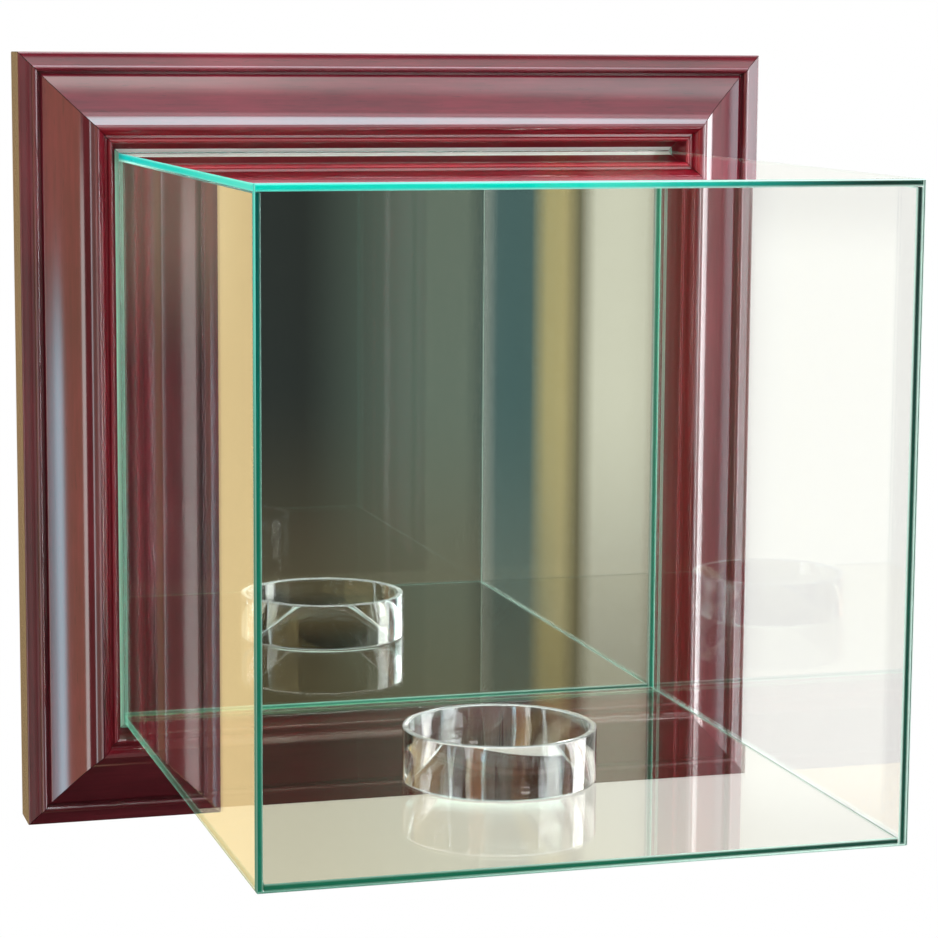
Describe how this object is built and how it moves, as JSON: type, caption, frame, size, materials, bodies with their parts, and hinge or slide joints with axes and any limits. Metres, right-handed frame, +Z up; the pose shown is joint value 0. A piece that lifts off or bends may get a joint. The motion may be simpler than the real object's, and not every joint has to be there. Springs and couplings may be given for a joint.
{
  "type": "wall display case",
  "caption": "Glass box on a mirror in a mitred wood frame, wall-hung, with a clear riser ring inside and turn buttons holding the back.",
  "frame": {"origin": "midway between the two wall hooks, at the height where they bear on the hangers' rings, in the plane of the frame's rear face", "axes": "+Z up, front of the case towards -Y, wall towards +Y, +X to the right seen from the front"},
  "size_m": [0.384, 0.3405, 0.384],
  "materials": {
    "lacquered_wood": "dark cherry stain under gloss lacquer",
    "mirror": "silvered float glass",
    "board": "bare fibreboard",
    "glass": "clear float glass with green seamed edges",
    "clear_bond": "clear cured silicone",
    "clear_plastic": "clear polished acrylic tube",
    "steel": "zinc plated",
    "brass_plate": "brass plated steel",
    "rubber": "matt black"
  },
  "bodies": {
    "case": {"frame_top_rail": "lacquered_wood", "frame_bottom_rail": "lacquered_wood", "frame_left_stile": "lacquered_wood", "frame_right_stile": "lacquered_wood", "v_nail_top_left_1": "steel", "v_nail_top_left_2": "steel", "v_nail_top_right_1": "steel", "v_nail_top_right_2": "steel", "v_nail_bottom_left_1": "steel", "v_nail_bottom_left_2": "steel", "v_nail_bottom_right_1": "steel", "v_nail_bottom_right_2": "steel", "mirror_plate": "mirror", "backing_board": "board", "glass_front": "glass", "glass_top": "glass", "glass_left": "glass", "glass_right": "glass", "glass_bottom": "glass", "bond_bead_top": "clear_bond", "bond_bead_bottom": "clear_bond", "bond_bead_left": "clear_bond", "bond_bead_right": "clear_bond", "button_screw_top_left": "steel", "button_screw_top_right": "steel", "button_screw_bottom_left": "steel", "button_screw_bottom_right": "steel", "button_screw_left": "steel", "button_screw_right": "steel", "hanger_strap_left": "steel", "hanger_strap_right": "steel", "hanger_screw_left_1": "steel", "hanger_screw_left_2": "steel", "hanger_screw_right_1": "steel", "hanger_screw_right_2": "steel", "bumper_left": "rubber", "bumper_right": "rubber"},
    "turn_button_top_left": {"turn_button_top_left": "brass_plate"},
    "turn_button_top_right": {"turn_button_top_right": "brass_plate"},
    "turn_button_bottom_left": {"turn_button_bottom_left": "brass_plate"},
    "turn_button_bottom_right": {"turn_button_bottom_right": "brass_plate"},
    "turn_button_left": {"turn_button_left": "brass_plate"},
    "turn_button_right": {"turn_button_right": "brass_plate"},
    "hanger_ring_left": {"hanger_ring_left": "steel"},
    "hanger_ring_right": {"hanger_ring_right": "steel"},
    "riser_ring": {"riser_ring": "clear_plastic"}
  },
  "joints": [
    {"name": "turn_button_top_left_turn", "type": "hinge", "parent": "case", "child": "turn_button_top_left", "pos_m": [-0.08, 0.0003, 0.0509], "axis": [0, 1, 0], "continuous": true},
    {"name": "turn_button_top_right_turn", "type": "hinge", "parent": "case", "child": "turn_button_top_right", "pos_m": [0.08, 0.0003, 0.0509], "axis": [0, 1, 0], "continuous": true},
    {"name": "turn_button_bottom_left_turn", "type": "hinge", "parent": "case", "child": "turn_button_bottom_left", "pos_m": [-0.08, 0.0003, -0.2711], "axis": [0, 1, 0], "continuous": true},
    {"name": "turn_button_bottom_right_turn", "type": "hinge", "parent": "case", "child": "turn_button_bottom_right", "pos_m": [0.08, 0.0003, -0.2711], "axis": [0, 1, 0], "continuous": true},
    {"name": "turn_button_left_turn", "type": "hinge", "parent": "case", "child": "turn_button_left", "pos_m": [-0.161, 0.0003, -0.1101], "axis": [0, 1, 0], "continuous": true},
    {"name": "turn_button_right_turn", "type": "hinge", "parent": "case", "child": "turn_button_right", "pos_m": [0.161, 0.0003, -0.1101], "axis": [0, 1, 0], "continuous": true},
    {"name": "hanger_left_swing", "type": "hinge", "parent": "case", "child": "hanger_ring_left", "pos_m": [-0.1725, 0.0029, -0.0151], "axis": [-1, 0, 0], "range_deg": [0, 165]},
    {"name": "hanger_right_swing", "type": "hinge", "parent": "case", "child": "hanger_ring_right", "pos_m": [0.1725, 0.0029, -0.0151], "axis": [-1, 0, 0], "range_deg": [0, 165]},
    {"name": "riser_ring_lift", "type": "slide", "parent": "case", "child": "riser_ring", "axis": [0, 0, 1], "range_m": [0, 0.25]}
  ]
}
